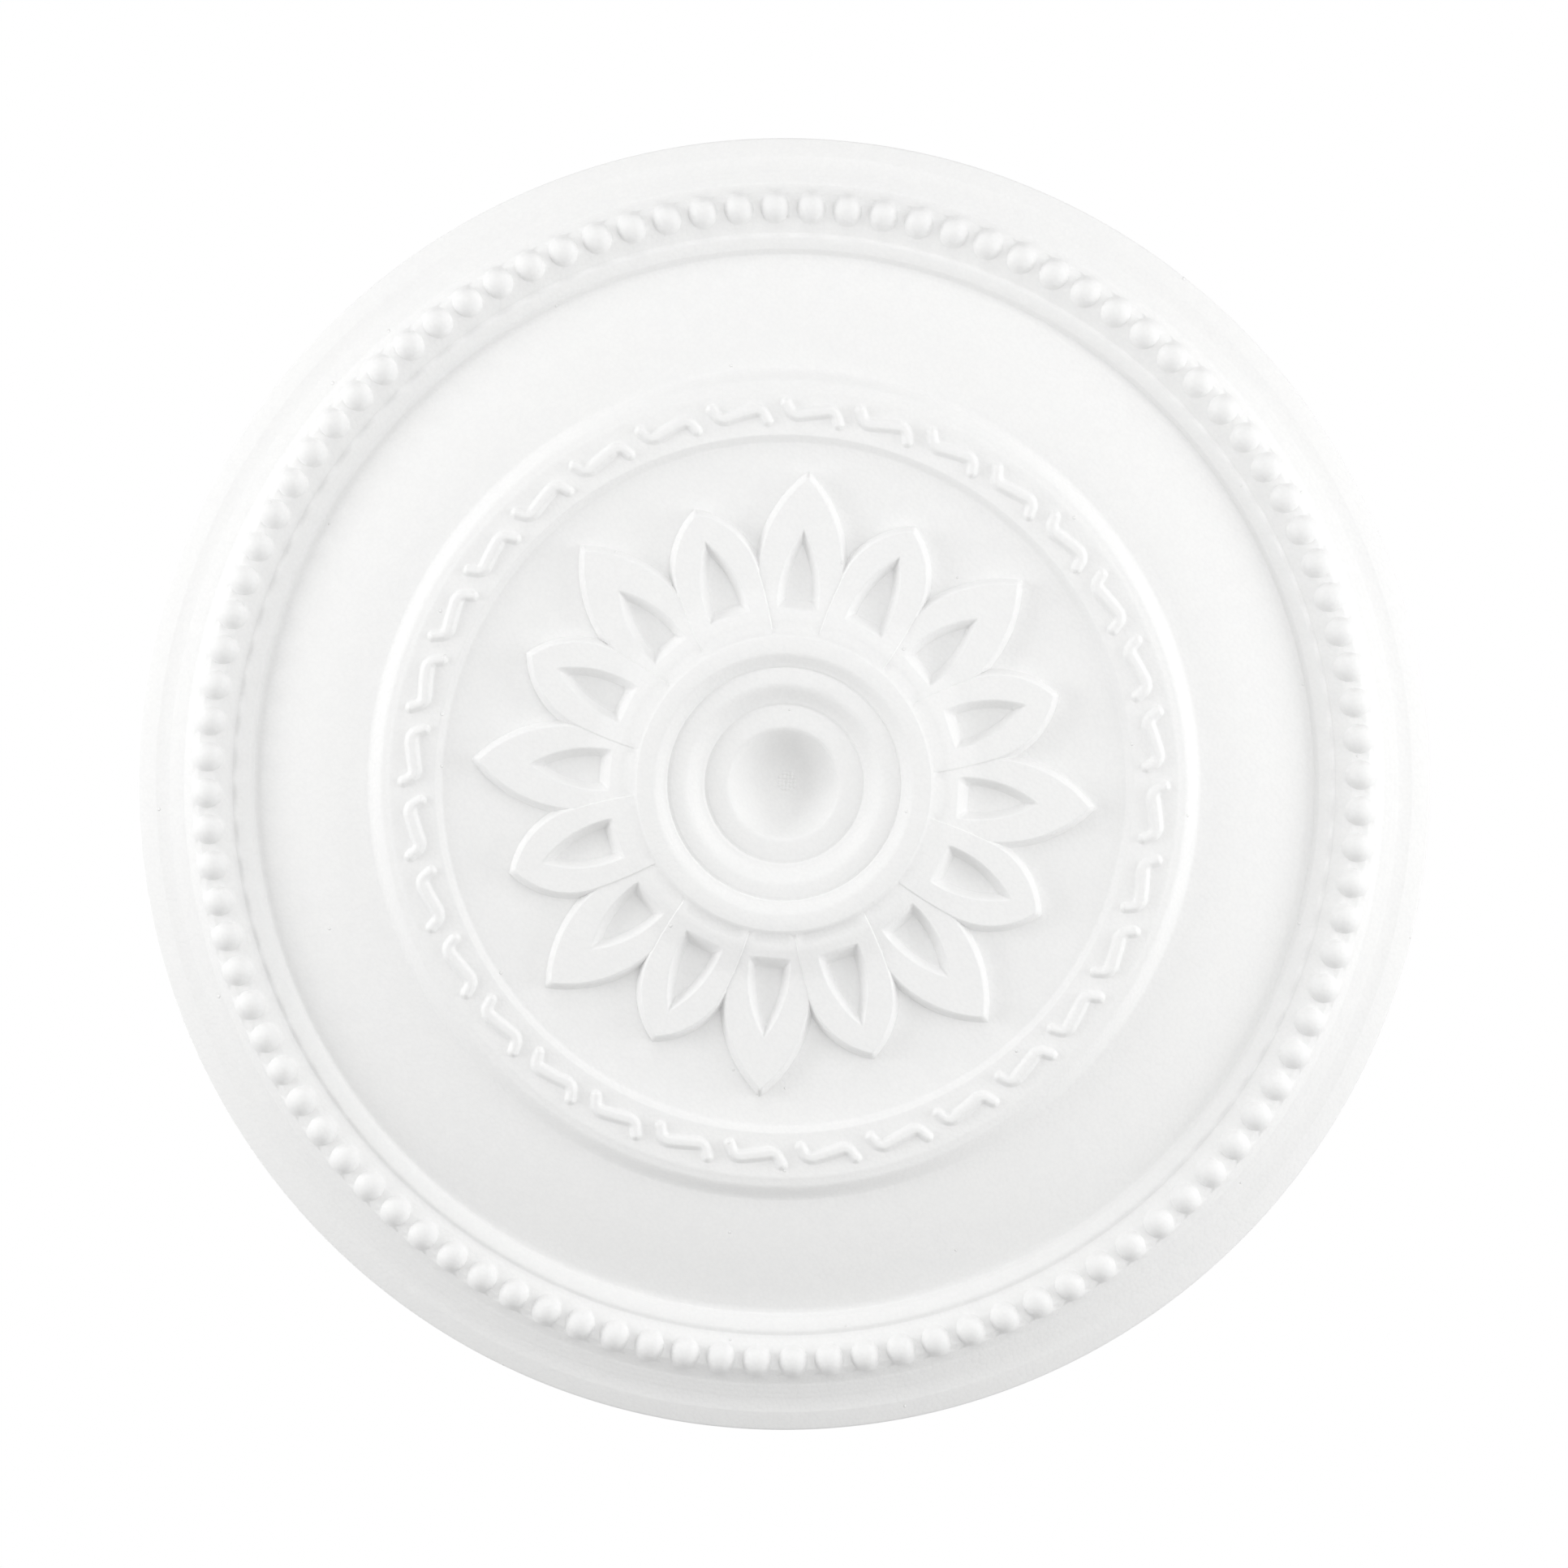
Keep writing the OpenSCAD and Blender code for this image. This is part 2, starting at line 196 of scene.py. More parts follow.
def rim_corners():
    corners = [(VALLEY_STEP_R, BAND_Z, 0.4), (BAND_R, GROOVE_Z, 0.9),
               ((BAND_R + GROOVE_R) / 2, GROOVE_Z - GROOVE_T, 0.15), (GROOVE_R, GROOVE_Z, 0.9),
               (SHOULDER_R, SEAT_Z, 0.8), (SEAT_R, SEAT_Z, 0.7), (FALL_R, FALL_Z, 0.5)]
    for i in range(1, TREADS + 1):
        r = FALL_R + i * TREAD_W
        corners += [(r - 0.15, FALL_Z - (i - 0.4) * TREAD_RISE, 0.12),
                    (r + 0.15, FALL_Z - i * TREAD_RISE, 0.12)]
    return corners + [(LAND_R, LAND_Z, 0.6), (ROSE_R - 0.6, EDGE_Z + 0.35, 0.3),
                      (ROSE_R, EDGE_Z - 0.35, 0.3)]


class Profile:
    """A height for each radius: a line through corners of radius, height and rounding.
    The rounding is a half width, and None rounds a corner as far as its neighbours allow."""

    def __init__(self, corners):
        r = np.array([c[0] for c in corners])
        z = np.array([c[1] for c in corners])
        gap = np.diff(r)
        nearest = np.minimum(np.r_[gap[0], gap], np.r_[gap, gap[-1]])
        self.w = np.array([0.5 * g if c[2] is None else min(c[2], 0.5 * g)
                           for c, g in zip(corners, nearest)])
        self.r, self.z = r, z
        self.slope = np.diff(z) / gap

    def __call__(self, r):
        out = self.z[0] + self.slope[0] * (r - self.r[0])
        for i in range(1, len(self.r) - 1):
            out = out + (self.slope[i] - self.slope[i - 1]) * soft_ramp(r - self.r[i], self.w[i])
        return out

    def rings(self, low, high):
        """Radii between low and high at which rings follow the profile closely."""
        r = np.arange(low, high, 0.02)
        z = self(r)
        angle = np.degrees(np.arctan(np.gradient(z, r)))
        radii, last = [], 0
        for i in range(2, len(r) - 1):
            chord = z[last] + (z[i] - z[last]) * (r[last:i] - r[last]) / (r[i] - r[last])
            if np.abs(chord - z[last:i]).max() > CHORD_GAP or np.ptp(angle[last:i]) > TURN_LIMIT:
                radii.append(r[i - 1])
                last = i - 1
        return radii


turned = Profile(centre_corners() + field_corners() + medallion_corners() + dome_corners()
                 + rim_corners())
petal_roof = Profile([(0, COLLAR_Z, 0.5), (COLLAR_R, COLLAR_Z, 1.5),
                      (SLOPE_R, FIELD_Z + PETAL_T + 1, 2.5), (ROOT_R + 12, FIELD_Z + PETAL_T, 10),
                      (ROSE_R, FIELD_Z + PETAL_T - 3, 0.5)])

# ---------------------------------------------------------------- relief

# mark left by a mould vent near the middle of the dish: small nibs inside a circle
MARK_X, MARK_Y, MARK_R = 1.1, 1.2, 3.9
NIB_PITCH, NIB_R, NIB_H, NIB_RUN = 1.45, 0.5, 0.32, 0.35
MARK_ROUND = 0.1                        # half width of the rounding on nibs and on vent marks
nib_steps = np.arange(-3, 4) * NIB_PITCH
NIBS = np.array([(MARK_X + x, MARK_Y + y) for x in nib_steps for y in nib_steps
                 if math.hypot(x, y) < MARK_R - 0.3])


def wall(d, run, foot, top):
    """0 outside a wall and 1 inside it: d is the distance inside its top edge, run its width.
    foot and top are the half widths over which its two edges are rounded."""
    return (soft_ramp(d + run, foot) - soft_ramp(d, top)) / run


def arch_inside(x, y, half_w, wide_r, tip_r):
    """Distance inside a pointed arch about +Y: half_w to each side at wide_r, its tip at tip_r."""
    rise = tip_r - wide_r
    arc_r = (half_w ** 2 + rise ** 2) / (2 * half_w)
    return arc_r - np.hypot(np.abs(x) + arc_r - half_w, y - wide_r)


def petal_inside(x, y, tip_r, narrows):
    """Distance inside a petal. Inside ROOT_R a short petal narrows and a long one runs on."""
    blade = arch_inside(x, y, PETAL_HALF_W, ROOT_R, tip_r)
    bend = (ROOT_R - y) ** 2 / (2 * FOOT_BEND_R) if narrows else 0.0
    return np.where(y > ROOT_R, blade, PETAL_HALF_W - bend - np.abs(x))


def window_inside(x, y):
    side = arch_inside(x, y, WINDOW_HALF_W, WINDOW_WIDE_R, WINDOW_TIP_R)
    foot = (y - WINDOW_FOOT_R) * WINDOW_RUN / WINDOW_FOOT_RUN
    return soft_min(side, foot, 0.25)


def petal_height(x, y, tip_r, step, narrows):
    """Height of one petal and its window, with the petal's axis along +Y."""
    top = petal_roof(np.hypot(x, y)) - step
    inside = petal_inside(x, y, tip_r, narrows)
    side = wall(inside, PETAL_RUN, PETAL_FOOT_ROUND, PETAL_TOP_ROUND)
    height = FIELD_Z + (top - FIELD_Z) * side
    floor = FIELD_Z + PETAL_T - WINDOW_T
    cut = wall(window_inside(x, y) - WINDOW_RUN, WINDOW_RUN, WINDOW_TOP_ROUND, WINDOW_FLOOR_ROUND)
    return height - (height - floor) * cut


def petals_height(r, bearing):
    """Height of the petals: a long one on +Y, a short one beside it, and so on in turn."""
    pitch = 2 * math.pi / PETALS
    turn = np.abs((bearing + pitch) % (2 * pitch) - pitch)
    long = petal_height(r * np.sin(turn), r * np.cos(turn), LONG_TIP_R, PETAL_STEP, False)
    turn = turn - pitch
    short = petal_height(r * np.sin(turn), r * np.cos(turn), SHORT_TIP_R, 0.0, True)
    return np.maximum(long, short)


def scroll_half(steps):
    """Half of a scroll's centre line, outwards: rows of x, y, heading and half width."""
    heading = 180 + SCROLL_TILT
    start, side = np.radians(heading), np.radians(heading - 90)
    corner = SCROLL_HALF * np.array([math.cos(start), math.sin(start)])
    centre = corner + SCROLL_BEND_R * np.array([math.cos(side), math.sin(side)])
    rows = [(*(corner * i / steps), heading, SCROLL_MID_W / 2) for i in range(steps)]
    for i in range(2 * steps + 1):
        h = heading - SCROLL_TURN * i / (2 * steps)
        out = np.radians(h + 90)
        w = SCROLL_MID_W + (SCROLL_END_W - SCROLL_MID_W) * i / (2 * steps)
        x = centre[0] + SCROLL_BEND_R * math.cos(out)
        y = centre[1] + SCROLL_BEND_R * math.sin(out)
        rows.append((x, y, h, w / 2))
    x, y, h, w = rows[-1]
    for i in range(1, steps + 1):
        s = SCROLL_TAIL * i / steps
        rows.append((x + s * math.cos(np.radians(h)), y + s * math.sin(np.radians(h)), h, w))
    return np.array(rows)


def scroll_inside(x, y):
    """Distance inside a scroll's outline, with its middle at (0, 0) and its length along x."""
    path = scroll_half(8)
    best = np.full(np.shape(x), -99.0)
    for sign in (1, -1):
        for a, b in zip(path[:-1], path[1:]):
            along = b[:2] - a[:2]
            t = ((sign * x - a[0]) * along[0] + (sign * y - a[1]) * along[1]) / along.dot(along)
            t = np.clip(t, 0, 1)
            gap = np.hypot(sign * x - a[0] - t * along[0], sign * y - a[1] - t * along[1])
            best = np.maximum(best, a[3] + t * (b[3] - a[3]) - gap)
    return best


def scroll_relief(d):
    """Height of a scroll above its border, by the distance inside its outline."""
    return np.where(d < -0.3, d, SCROLL_T * wall(d - SCROLL_RUN, SCROLL_RUN, 0.3, 0.6))


def scrolls_height(r, bearing, base):
    pitch = 2 * math.pi / SCROLLS
    turn = (bearing + pitch / 2) % pitch - pitch / 2
    d = scroll_inside(turn * SCROLL_R, r - SCROLL_R)
    return soft_max(base + scroll_relief(d), base, 0.25)


def beads_height(r, bearing, base):
    pitch = 2 * math.pi / BEADS
    turn = (bearing - math.radians(BEAD_ANGLE) + pitch / 2) % pitch - pitch / 2
    x, y = r * np.sin(turn), r * np.cos(turn) - BEAD_R
    rho = np.hypot(x, y)
    radius = BEAD_D / 2
    rim = 0.92 * radius
    ball = BEAD_Z + np.sqrt(radius ** 2 - np.minimum(rho, rim) ** 2)
    return soft_max(ball - 2.35 * np.clip(rho - rim, 0, None), base, 0.35)


def face_height(x, y):
    """Height of the face above the back, anywhere in the plan."""
    r = np.hypot(x, y)
    bearing = np.arctan2(x, y)
    z = turned(r)
    near = r < MARK_ZONE_R
    for nib_x, nib_y in NIBS:
        gap = np.hypot(x[near] - nib_x, y[near] - nib_y)
        z[near] += NIB_H * wall(NIB_R - gap, NIB_RUN, MARK_ROUND, MARK_ROUND)
    near = (r > RING_R) & (r < FIELD_R)
    z[near] = soft_max(z[near], petals_height(r[near], bearing[near]), 0.15)
    near = (r > BORDER_IN_R) & (r < BORDER_R)
    z[near] = scrolls_height(r[near], bearing[near], z[near])
    near = (r > BEAD_R - BEAD_D) & (r < FALL_R)
    z[near] = beads_height(r[near], bearing[near], z[near])
    return z


# ---------------------------------------------------------------- mesh of the plan

INNER_SIDES = 160       # corners of a ring inside the collar
RING_SIDES = 384        # corners of a ring from the collar to the dome
RIM_SIDES = 400         # corners of a ring from the dome to the edge
MARK_ZONE_R = 7.0
PETAL_ZONE = (RING_R + 0.9, LONG_TIP_R + 3.5)
SCROLL_ZONE = (SCROLL_R - 8.0, SCROLL_R + 7.6)
BEAD_ZONE = (BEAD_R - 6.4, FALL_R - 0.9)
DOME_SEAM_R = 182.0     # where the number of corners changes from RING_SIDES to RIM_SIDES
EDGE_INSET = 0.9        # from the outer edge to the last ring of the face
BACK_INSET = 0.55       # and to the outline of the flat back
WELD = 2e-3             # points nearer than this become one
CHORD_GAP = 0.019       # that a ring's chord may leave the profile by
TURN_LIMIT = 24         # degrees that the profile may turn between two rings


def turned_points(points, angle):
    """Plan points turned clockwise, from +Y towards +X."""
    c, s = math.cos(angle), math.sin(angle)
    return np.c_[points[:, 0] * c + points[:, 1] * s, points[:, 1] * c - points[:, 0] * s]


def ring(r, sides, start=0.0):
    t = start + 2 * math.pi * np.arange(sides) / sides
    return np.c_[r * np.sin(t), r * np.cos(t)]


def arc(r, start, stop, steps):
    t = np.linspace(start, stop, steps + 1)
    return np.c_[r * np.sin(t), r * np.cos(t)]


def fill(outline, lines):
    """Triangles that fill a closed outline and follow the lines drawn across it."""
    verts, edges = [tuple(p) for p in outline], []
    edges += [(i, (i + 1) % len(outline)) for i in range(len(outline))]
    for line in lines:
        base = len(verts)
        verts += [tuple(p) for p in line]
        edges += [(base + i, base + i + 1) for i in range(len(line) - 1)]
    out, _, faces, *_ = delaunay_2d_cdt(verts, edges, [], 1, 1e-4)
    return np.array(out, float).reshape(-1, 2), np.array([f for f in faces if len(f) == 3])


def fill_sector(low, high, start, stop, steps, lines):
    """Triangles that fill a sector and follow lines, some of which end on its straight sides."""
    sides = []
    for angle in (stop, start):
        found = {round(high, 6), round(low, 6)}
        for line in lines:
            for x, y in (line[0], line[-1]):
                r = math.hypot(x, y)
                if abs(math.atan2(x, y) - angle) * r < 1e-4 and low + 1e-3 < r < high - 1e-3:
                    found.add(round(r, 4))
        sides.append(np.array([[r * math.sin(angle), r * math.cos(angle)] for r in sorted(found)]))
    inner = arc(low, start, stop, steps)
    outer = arc(high, stop, start, steps)
    return fill(np.r_[inner, sides[0][1:-1], outer, sides[1][::-1][1:-1]], lines)


def inside_sector(points, low, high, start, stop):
    """Runs of points that lie in a sector, with one point beyond each end."""
    r = np.hypot(points[:, 0], points[:, 1])
    t = np.arctan2(points[:, 0], points[:, 1])
    ok = (r > low) & (r < high) & (t > start - 1e-9) & (t < stop + 1e-9)
    runs, run = [], []
    for i, good in enumerate(ok):
        if good:
            run.append(points[i])
        elif run:
            runs.append(np.array(run))
            run = []
    if run:
        runs.append(np.array(run))
    return [k for k in runs if len(k) > 1]


def arch_line(half_w, wide_r, tip_r, inset, foot_y, steps):
    """The right half of a pointed arch drawn in by inset, from its tip on +Y to foot_y."""
    rise = tip_r - wide_r
    arc_r = (half_w ** 2 + rise ** 2) / (2 * half_w)
    centre_x = half_w - arc_r
    radius = arc_r - inset
    top = math.acos(min(1, -centre_x / radius))
    low = math.asin((foot_y - wide_r) / radius)
    t = np.linspace(top, low, steps + 1)
    return np.c_[centre_x + radius * np.cos(t), wide_r + radius * np.sin(t)]


def petal_lines(tip_r, narrows):
    """Lines along the edges of half a petal and half its window, to the right of +Y."""
    lines = []
    top, foot = PETAL_TOP_ROUND, PETAL_FOOT_ROUND
    for inset in (top, top / 2, 0.0, -top / 2, -top, foot - PETAL_RUN, -foot - PETAL_RUN):
        side = arch_line(PETAL_HALF_W, ROOT_R, tip_r, inset, ROOT_R, 26)
        if narrows and inset > -top:
            y = np.linspace(ROOT_R, PETAL_ZONE[0] - 1, 14)[1:]
            bend = (ROOT_R - y) ** 2 / (2 * FOOT_BEND_R)
            side = np.r_[side, np.c_[PETAL_HALF_W - inset - bend, y]]
        lines.append(side)
    top, floor = WINDOW_TOP_ROUND, WINDOW_FLOOR_ROUND
    for inset in (-top, -top / 3, top / 3, top, WINDOW_RUN / 2, WINDOW_RUN - floor, WINDOW_RUN + floor):
        foot_y = WINDOW_FOOT_R + inset * WINDOW_FOOT_RUN / WINDOW_RUN
        side = arch_line(WINDOW_HALF_W, WINDOW_WIDE_R, WINDOW_TIP_R, inset, foot_y, 20)
        foot = np.c_[np.linspace(side[-1, 0], 0, 5), np.full(5, foot_y)]
        lines.append(np.r_[side, foot[1:]])
    return lines


def petal_sector():
    """The plan between the axis of a long petal and that of the short one on its right."""
    stop = 2 * math.pi / PETALS
    low, high = PETAL_ZONE
    radii = turned.rings(low, RING_R + RING_STEP_W) + petal_roof.rings(low, high)
    lines = [arc(r, 0, stop, 24) for r in radii]
    for line in petal_lines(LONG_TIP_R, False):
        lines += inside_sector(line, low, high, 0, stop)
    for line in petal_lines(SHORT_TIP_R, True):
        mirrored = turned_points(line * [-1, 1], stop)
        lines += inside_sector(mirrored, low, high, 0, stop)
    crease_r = np.linspace(ROOT_R - 3, ROOT_R + 15, 30)
    lines.append(np.c_[crease_r * math.sin(stop / 2), crease_r * math.cos(stop / 2)])
    return fill_sector(low, high, 0, stop, RING_SIDES // PETALS, lines)


def scroll_loop(path, inset):
    """The closed outline of a scroll, drawn in by inset, from half of its centre line."""
    t = np.radians(path[:, 2])
    reach = path[:, 3] - inset
    left = path[:, :2] + (reach * [np.cos(t + np.pi / 2), np.sin(t + np.pi / 2)]).T
    right = path[:, :2] + (reach * [np.cos(t - np.pi / 2), np.sin(t - np.pi / 2)]).T
    cap_t = t[-1] + np.linspace(-np.pi / 2, np.pi / 2, 8)[1:-1]
    cap = path[-1, :2] + reach[-1] * np.c_[np.cos(cap_t), np.sin(cap_t)]
    half = np.r_[right, cap, left[::-1][:-1]]
    return np.r_[half, -half, half[:1]]


def scroll_sector():
    """The plan about one scroll."""
    half = math.pi / SCROLLS
    low, high = SCROLL_ZONE
    path = scroll_half(5)
    ridge = np.r_[path[::-1, :2], -path[1:, :2]]
    lines = [arc(r, -half, half, 12) for r in turned.rings(low, high)]
    for line in [scroll_loop(path, inset) for inset in (-0.4, 0.0, 0.3, 0.9, 1.4, 2.0)] + [ridge]:
        t, r = line[:, 0] / SCROLL_R, SCROLL_R + line[:, 1]
        lines.append(np.c_[r * np.sin(t), r * np.cos(t)])
    return fill_sector(low, high, -half, half, RING_SIDES // SCROLLS, lines)


def bead_sector():
    """The plan about one bead."""
    half = math.pi / BEADS
    low, high = BEAD_ZONE
    radius = BEAD_D / 2
    lines = []
    for r in turned.rings(low, high):
        line = arc(r, -half, half, 16)
        clear = np.hypot(line[:, 0], line[:, 1] - BEAD_R) > 1.02 * radius
        if clear.all():
            lines.append(line[::4])
        else:
            first = int(np.argmin(clear))
            lines += [line[[0, first - 1]], line[[-first, -1]]]
    circles = [(0.33, 6), (0.6, 12), (0.8, 16)]
    circles += [(share, 20) for share in (0.91, 0.96, 1.03, 1.09, 1.16)]
    for share, sides in circles:
        circle = ring(share * radius, sides) + [0, BEAD_R]
        lines.append(np.r_[circle, circle[:1]])
    return fill_sector(low, high, -half, half, RIM_SIDES // BEADS, lines)


class Mesh:
    """Collects vertices in millimetres and faces."""

    def __init__(self):
        self.verts, self.faces, self.count = [], [], 0

    def add(self, verts, faces):
        base = self.count
        self.verts.append(np.asarray(verts, float))
        self.faces += [tuple(base + i for i in f) for f in faces]
        self.count += len(verts)
        return np.arange(base, self.count)

    def add_plan(self, points, faces, mirror=False):
        z = face_height(points[:, 0], points[:, 1])
        faces = [f[::-1] for f in faces] if mirror else faces
        return self.add(np.c_[points, z], faces)

    def stitch(self, inner, outer):
        """Faces between two rings that run the same way. Their numbers of corners may differ."""
        a, b = len(inner), len(outer)
        i = j = 0
        while i < a or j < b:
            if a == b:
                self.faces.append((inner[i], inner[(i + 1) % a], outer[(i + 1) % a], outer[i]))
                i, j = i + 1, j + 1
            elif j >= b or (i < a and (i + 0.5) / a < (j + 0.5) / b):
                self.faces.append((inner[i % a], inner[(i + 1) % a], outer[j % b]))
                i += 1
            else:
                self.faces.append((inner[i % a], outer[(j + 1) % b], outer[j % b]))
                j += 1

    def stitch_rows(self, rows):
        for inner, outer in zip(rows[:-1], rows[1:]):
            self.stitch(inner, outer)


# marks of mould vents in the back, in two circles about a middle one
VENT_R, VENT_T, VENT_RUN = 4.0, 0.6, 0.3
BACK_VENTS = [(0, 0)] + [tuple(p) for p in ring(85, 8)] + [tuple(p) for p in ring(175, 16, 0.2)]


def back_height(x, y):
    """Depth of the vent marks in the flat back."""
    z = np.zeros(len(x))
    for vent_x, vent_y in BACK_VENTS:
        inside = VENT_R - np.hypot(x - vent_x, y - vent_y)
        z += VENT_T * wall(inside - VENT_RUN, VENT_RUN, MARK_ROUND, MARK_ROUND)
    return z


def turned_face(mesh):
    """The face apart from the petals, scrolls and beads. Returns its outermost ring."""
    start = math.radians(BEAD_ANGLE)
    low = PETAL_ZONE[0]
    lines = []
    for x, y in NIBS:
        for reach, sides in ((-MARK_ROUND, 6), (MARK_ROUND, 8), (NIB_RUN + MARK_ROUND, 8)):
            circle = ring(NIB_R + reach, sides) + [x, y]
            lines.append(np.r_[circle, circle[:1]])
    mesh.add_plan(*fill(ring(MARK_ZONE_R, 80), lines))
    rows = [mesh.add_plan(ring(MARK_ZONE_R, 80), [])]
    radii = turned.rings(MARK_ZONE_R + 0.8, low - 0.1)
    rows += [mesh.add_plan(ring(r, INNER_SIDES), []) for r in radii]
    rows.append(mesh.add_plan(ring(low, RING_SIDES), []))
    mesh.stitch_rows(rows)
    stretches = [(PETAL_ZONE[1], SCROLL_ZONE[0], RING_SIDES, 0.0),
                 (SCROLL_ZONE[1], DOME_SEAM_R, RING_SIDES, 0.0),
                 (DOME_SEAM_R + 2.5, BEAD_ZONE[0], RIM_SIDES, start),
                 (BEAD_ZONE[1], ROSE_R - EDGE_INSET, RIM_SIDES, start)]
    ends = []
    for low, high, sides, turn in stretches:
        between = [r for r in turned.rings(low, high) if low + 0.07 < r < high - 0.07]
        radii = [low] + between + [high]
        rows = [mesh.add_plan(ring(r, sides, turn), []) for r in radii]
        mesh.stitch_rows(rows)
        ends.append((rows[0], rows[-1]))
    mesh.stitch(ends[1][1], ends[2][0])
    return ends[3][1]


def edge_and_back(mesh, last):
    """The rounded outer edge, the upright side and the flat back with its vent marks."""
    start = math.radians(BEAD_ANGLE)
    edge = turned(np.array([ROSE_R - EDGE_INSET]))[0]
    rounding = ((0.5, edge - 0.28), (0.15, edge - 0.65), (0.0, edge - 1.1),
                (0.0, 0.55), (0.15, 0.16), (BACK_INSET, 0))
    for inset, z in rounding:
        points = ring(ROSE_R - inset, RIM_SIDES, start)
        row = mesh.add(np.c_[points, np.full(len(points), z)], [])
        mesh.stitch(last, row)
        last = row
    outline = ring(ROSE_R - BACK_INSET, RIM_SIDES, start)
    lines = []
    for x, y in BACK_VENTS:
        for r in (VENT_R + 0.12, VENT_R - 0.05, VENT_R - 0.25, VENT_R - 0.42):
            circle = ring(r, 24) + [x, y]
            lines.append(np.r_[circle, circle[:1]])
    points, faces = fill(outline, lines)
    mesh.add(np.c_[points, back_height(points[:, 0], points[:, 1])], [f[::-1] for f in faces])


def rose_mesh():
    mesh = Mesh()
    last = turned_face(mesh)
    points, faces = petal_sector()
    for i in range(PETALS // 2):
        turn = 4 * math.pi * i / PETALS
        mesh.add_plan(turned_points(points, turn), faces)
        mesh.add_plan(turned_points(points * [-1, 1], turn), faces, mirror=True)
    points, faces = scroll_sector()
    for i in range(SCROLLS):
        mesh.add_plan(turned_points(points, 2 * math.pi * i / SCROLLS), faces)
    points, faces = bead_sector()
    for i in range(BEADS):
        turn = math.radians(BEAD_ANGLE) + 2 * math.pi * i / BEADS
        mesh.add_plan(turned_points(points, turn), faces)
    edge_and_back(mesh, last)
    return np.concatenate(mesh.verts), mesh.faces


def to_frame(points):
    """From the plan, seen from below, to the frame: turned over about X, in metres."""
    plan = turned_points(points[:, :2], math.radians(90 - PETAL_ANGLE))
    return np.c_[plan[:, 0], -plan[:, 1], -points[:, 2]]


def surface_normals(points, height):
    """Upward normals of the surface that a height function gives."""
    step = 0.02
    x, y = points[:, 0], points[:, 1]
    slope_x = (height(x + step, y) - height(x - step, y)) / (2 * step)
    slope_y = (height(x, y + step) - height(x, y - step)) / (2 * step)
    normals = np.c_[-slope_x, -slope_y, np.ones(len(x))]
    return normals / np.linalg.norm(normals, axis=1)[:, None]


def rose_normals(data, plan):
    """Normals of the rose in the plan: the surface's own, where they agree with the mesh's."""
    normals = np.array([n.vector[:] for n in data.vertex_normals])
    r = np.hypot(plan[:, 0], plan[:, 1])
    on_face = (r < ROSE_R - 0.8) & (plan[:, 2] > 1)
    smooth = surface_normals(plan[on_face], face_height)
    agree = np.einsum("ij,ij->i", smooth, normals[on_face]) > 0.85
    normals[on_face] = np.where(agree[:, None], smooth, normals[on_face])
    on_back = (r < ROSE_R - 0.5) & (plan[:, 2] < 1)
    normals[on_back] = -surface_normals(plan[on_back], back_height)
    return normals


def make_rose():
    verts, faces = rose_mesh()
    data = bpy.data.meshes.new("rose")
    data.from_pydata([tuple(v) for v in verts], [], faces)
    work = bmesh.new()
    work.from_mesh(data)
    bmesh.ops.remove_doubles(work, verts=work.verts, dist=WELD)
    bmesh.ops.triangulate(work, faces=work.faces)
    bmesh.ops.recalc_face_normals(work, faces=work.faces)
    work.to_mesh(data)
    work.free()
    plan = np.empty(len(data.vertices) * 3)
    data.vertices.foreach_get("co", plan)
    plan = plan.reshape(-1, 3)
    data.shade_smooth()
    normals = rose_normals(data, plan)
    data.vertices.foreach_set("co", (to_frame(plan) * MM + [0, 0, HIGH[2]]).ravel())
    data.update()
    data.normals_split_custom_set_from_vertices([tuple(n) for n in to_frame(normals)])
    piece = bpy.data.objects.new("rose", data)
    bpy.context.scene.collection.objects.link(piece)
    return piece


# ---------------------------------------------------------------- materials

# foam, in metres: one expanded bead, and the raised specks that are scattered over the face
FOAM_BEAD = 0.0015
SPECK_PITCH, SPECK_SHARE = 0.022, 0.12
SPECK_R = (0.0004, 0.0008)
# how many waves of the skin's noises fit in a metre, and how far each feature stands out
GRAIN_SCALE, PATCH_SCALE, BROAD_SCALE = 2500, 160, 14
GRAIN_BUMP, PATCH_BUMP, BEAD_BUMP, SPECK_BUMP = 0.00002, 0.0001, 0.00007, 0.00025

# colours in linear light
PLAIN_TONE = (0.872, 0.872, 0.872, 1)
PATCH_TONE = (0.886, 0.886, 0.885, 1)
WARM_TONE = (0.882, 0.882, 0.876, 1)
# painted shade: a darker tone for the sunken gaps between the foam beads
PAINTED_GAP_SHADE_TONE = (0.85, 0.85, 0.852, 1)
# painted highlight: the raised specks are a lighter tone than the foam
SPECK_PAINTED_HIGHLIGHT_TONE = (0.95, 0.95, 0.95, 1)
FLOOR_TONE = (0.82, 0.82, 0.81)


